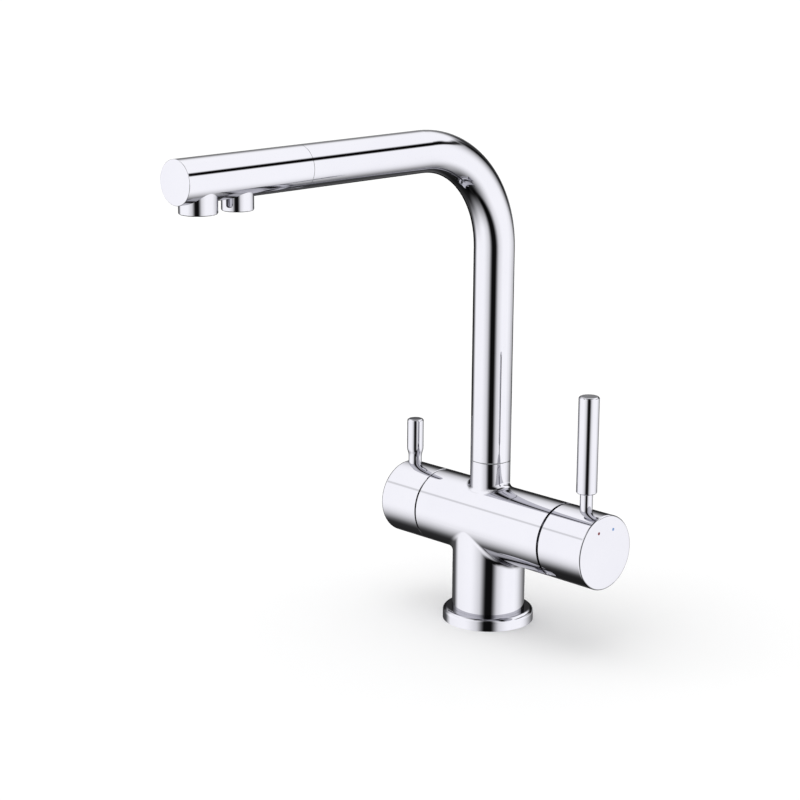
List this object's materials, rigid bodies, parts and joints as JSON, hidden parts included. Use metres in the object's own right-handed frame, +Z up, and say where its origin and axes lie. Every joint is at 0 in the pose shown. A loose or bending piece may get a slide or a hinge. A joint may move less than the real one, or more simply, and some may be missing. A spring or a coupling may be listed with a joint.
{
  "type": "three way filtered water tap",
  "caption": "Deck mounted kitchen tap with a swivel spout, a lever mixer for hot and cold water and a quarter turn knob for filtered water, each with its own outlet.",
  "frame": {"origin": "centre of the base flange's underside, on the worktop, on the axis of the stem and the spout's swivel", "axes": "+Z up along the stem, -Y forward over the sink along the spout, +X to the mixer handle's end of the barrel"},
  "size_m": [0.1902, 0.3079, 0.351],
  "materials": {
    "polished_chrome": "polished chrome plate on brass",
    "plain_brass": "machined brass",
    "stainless_steel": "plain stainless steel",
    "black_rubber": "matt rubber",
    "white_plastic": "moulded acetal",
    "grey_plastic": "moulded plastic",
    "ceramic": "lapped ceramic",
    "red_enamel": "enamel dot",
    "blue_enamel": "enamel dot"
  },
  "bodies": {
    "tap_body": {"body_casting": "polished_chrome", "base_flange": "polished_chrome", "base_gasket": "black_rubber", "glide_ring": "grey_plastic", "swivel_screw": "stainless_steel", "mixer_housing": "white_plastic", "mixer_port_seal": "black_rubber", "mixer_fixed_disc": "ceramic", "mixer_nut": "plain_brass", "filter_valve_body": "plain_brass", "filter_valve_seal": "black_rubber", "filter_fixed_disc": "ceramic"},
    "spout": {"spout_tube": "polished_chrome", "swivel_spigot": "plain_brass", "swivel_rings": "black_rubber", "filter_water_pipe": "white_plastic", "head_coupling": "plain_brass", "head_seal": "black_rubber", "spout_head": "polished_chrome", "mains_outlet_housing": "polished_chrome", "mains_outlet_insert": "grey_plastic", "mains_outlet_washer": "black_rubber", "filter_outlet_housing": "polished_chrome", "filter_outlet_insert": "grey_plastic", "filter_outlet_washer": "black_rubber"},
    "mixer_turret": {"mixer_rotor": "white_plastic", "mixer_pivot_pin": "stainless_steel"},
    "mixer_handle": {"mixer_cap": "polished_chrome", "mixer_lever": "polished_chrome", "mixer_lever_stud": "stainless_steel", "mixer_spindle": "stainless_steel", "handle_screw": "stainless_steel", "hot_mark": "red_enamel", "cold_mark": "blue_enamel"},
    "mixer_slide": {"mixer_moving_disc": "ceramic", "mixer_carrier": "white_plastic"},
    "filter_handle": {"filter_knob": "polished_chrome", "filter_lever": "polished_chrome", "filter_lever_stud": "stainless_steel", "filter_valve_spindle": "plain_brass", "filter_moving_disc": "ceramic"}
  },
  "joints": [
    {"name": "spout_swivel", "type": "hinge", "parent": "tap_body", "child": "spout", "pos_m": [0, 0, 0.1], "axis": [0, 0, 1], "range_deg": [-75, 75]},
    {"name": "mixer_temperature", "type": "hinge", "parent": "tap_body", "child": "mixer_turret", "pos_m": [0.0844, 0, 0.0724], "axis": [1, 0, 0], "range_deg": [-50, 50]},
    {"name": "mixer_flow", "type": "hinge", "parent": "mixer_turret", "child": "mixer_handle", "pos_m": [0.0844, 0, 0.0724], "axis": [0, 1, 0], "range_deg": [0, 18]},
    {"name": "mixer_disc_slide", "type": "slide", "parent": "mixer_turret", "child": "mixer_slide", "axis": [0, 0, 1], "range_m": [0, 0.00566]},
    {"name": "filter_turn", "type": "hinge", "parent": "tap_body", "child": "filter_handle", "pos_m": [-0.07, 0, 0.0724], "axis": [1, 0, 0], "range_deg": [0, 90]}
  ],
  "couplings": [
    {"joint": "mixer_disc_slide", "follows": "mixer_flow", "m_per_rad": 0.018}
  ]
}
